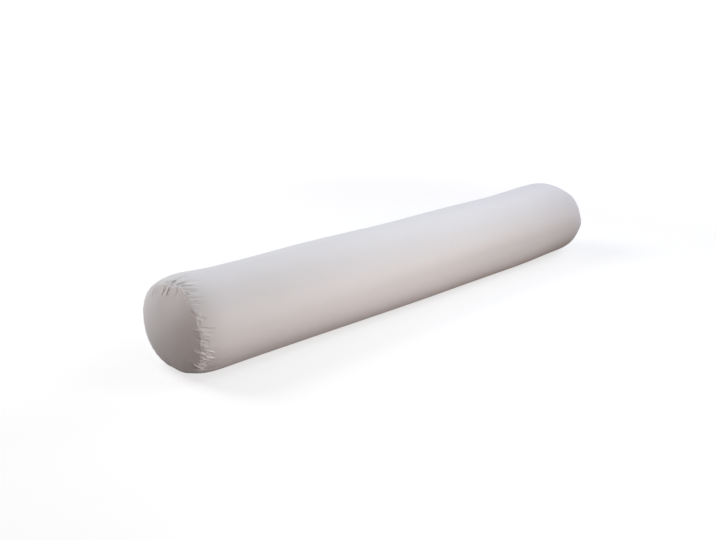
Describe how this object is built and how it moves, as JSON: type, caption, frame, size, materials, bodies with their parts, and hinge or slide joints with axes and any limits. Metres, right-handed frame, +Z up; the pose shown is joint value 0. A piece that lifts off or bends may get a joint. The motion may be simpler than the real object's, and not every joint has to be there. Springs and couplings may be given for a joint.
{
  "type": "body pillow",
  "caption": "Long round body pillow of plain white cotton, firmly filled, with a shallow domed round panel gathered into a seam at each end.",
  "frame": {"origin": "on the surface it lies on, under the middle of the pillow", "axes": "+X along the pillow's length, +Y across it, +Z up from the surface it lies on"},
  "size_m": [1.2, 0.2013, 0.1754],
  "materials": {
    "tube_cloth": "matt, smooth close weave",
    "end_cloth": "matt, smooth close weave"
  },
  "bodies": {
    "root": {"pillow_tube": "tube_cloth", "end_panel_left": "end_cloth", "end_panel_right": "end_cloth"}
  },
  "joints": []
}
